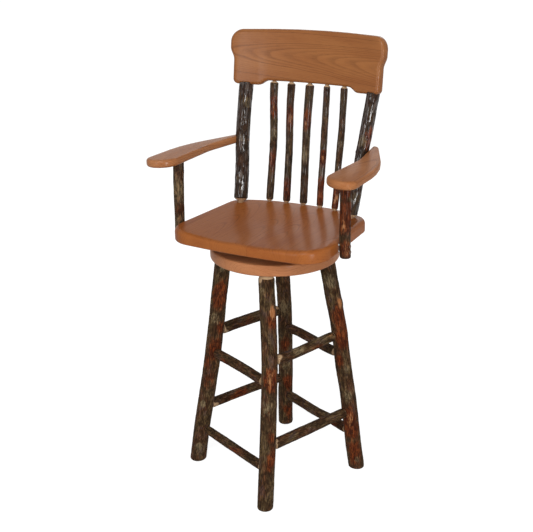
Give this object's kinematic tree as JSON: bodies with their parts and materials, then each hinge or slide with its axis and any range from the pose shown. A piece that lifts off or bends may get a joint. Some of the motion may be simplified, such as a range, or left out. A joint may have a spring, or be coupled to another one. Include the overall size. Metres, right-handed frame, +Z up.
{
  "type": "swivel bar chair",
  "caption": "Rustic bar chair with a leaning spindle back, curved crest rail, paddle arms and dished seat that swivel on a splayed base of bark-on logs.",
  "frame": {"origin": "on the floor, on the swivel axis, midway between the four feet", "axes": "+Z up along the swivel axis, -Y the way the sitter faces at rest, +X to the sitter's left hand, which is the viewer's right in a front view"},
  "size_m": [0.5974, 0.496, 1.2549],
  "materials": {
    "oak": "oiled oak, satin, with a lengthwise grain",
    "bark": "clear-coated hickory bark, ridged, with bare turned tenons",
    "steel": "zinc-plated pressed steel",
    "cage": "natural nylon"
  },
  "bodies": {
    "base": {"base_disc": "oak", "leg_front": "bark", "leg_right": "bark", "leg_back": "bark", "leg_left": "bark", "rung_front_right_upper": "bark", "rung_front_right_lower": "bark", "rung_back_right_upper": "bark", "rung_back_right_lower": "bark", "rung_back_left_upper": "bark", "rung_back_left_lower": "bark", "rung_front_left_upper": "bark", "rung_front_left_lower": "bark", "swivel_lower_plate": "steel", "lower_plate_screws": "steel", "swivel_rivet": "steel"},
    "ball_ring": {"ball_cage": "cage", "bearing_balls": "steel"},
    "seat": {"swivel_upper_plate": "steel", "upper_plate_screws": "steel", "seat": "oak", "back_post_left": "bark", "back_post_right": "bark", "spindle_left_outer": "bark", "spindle_left_inner": "bark", "spindle_middle": "bark", "spindle_right_inner": "bark", "spindle_right_outer": "bark", "crest_rail": "oak", "arm_left": "oak", "arm_right": "oak", "arm_post_left": "bark", "arm_post_right": "bark", "arm_post_screws": "steel", "arm_end_screws": "steel", "screw_plugs": "bark"}
  },
  "joints": [
    {"name": "seat_swivel", "type": "hinge", "parent": "base", "child": "seat", "pos_m": [0, 0, 0.7117], "axis": [0, 0, 1], "continuous": true},
    {"name": "ball_ring_spin", "type": "hinge", "parent": "base", "child": "ball_ring", "pos_m": [0, 0, 0.7117], "axis": [0, 0, 1], "continuous": true}
  ],
  "couplings": [
    {"joint": "ball_ring_spin", "follows": "seat_swivel", "ratio": 0.5}
  ]
}
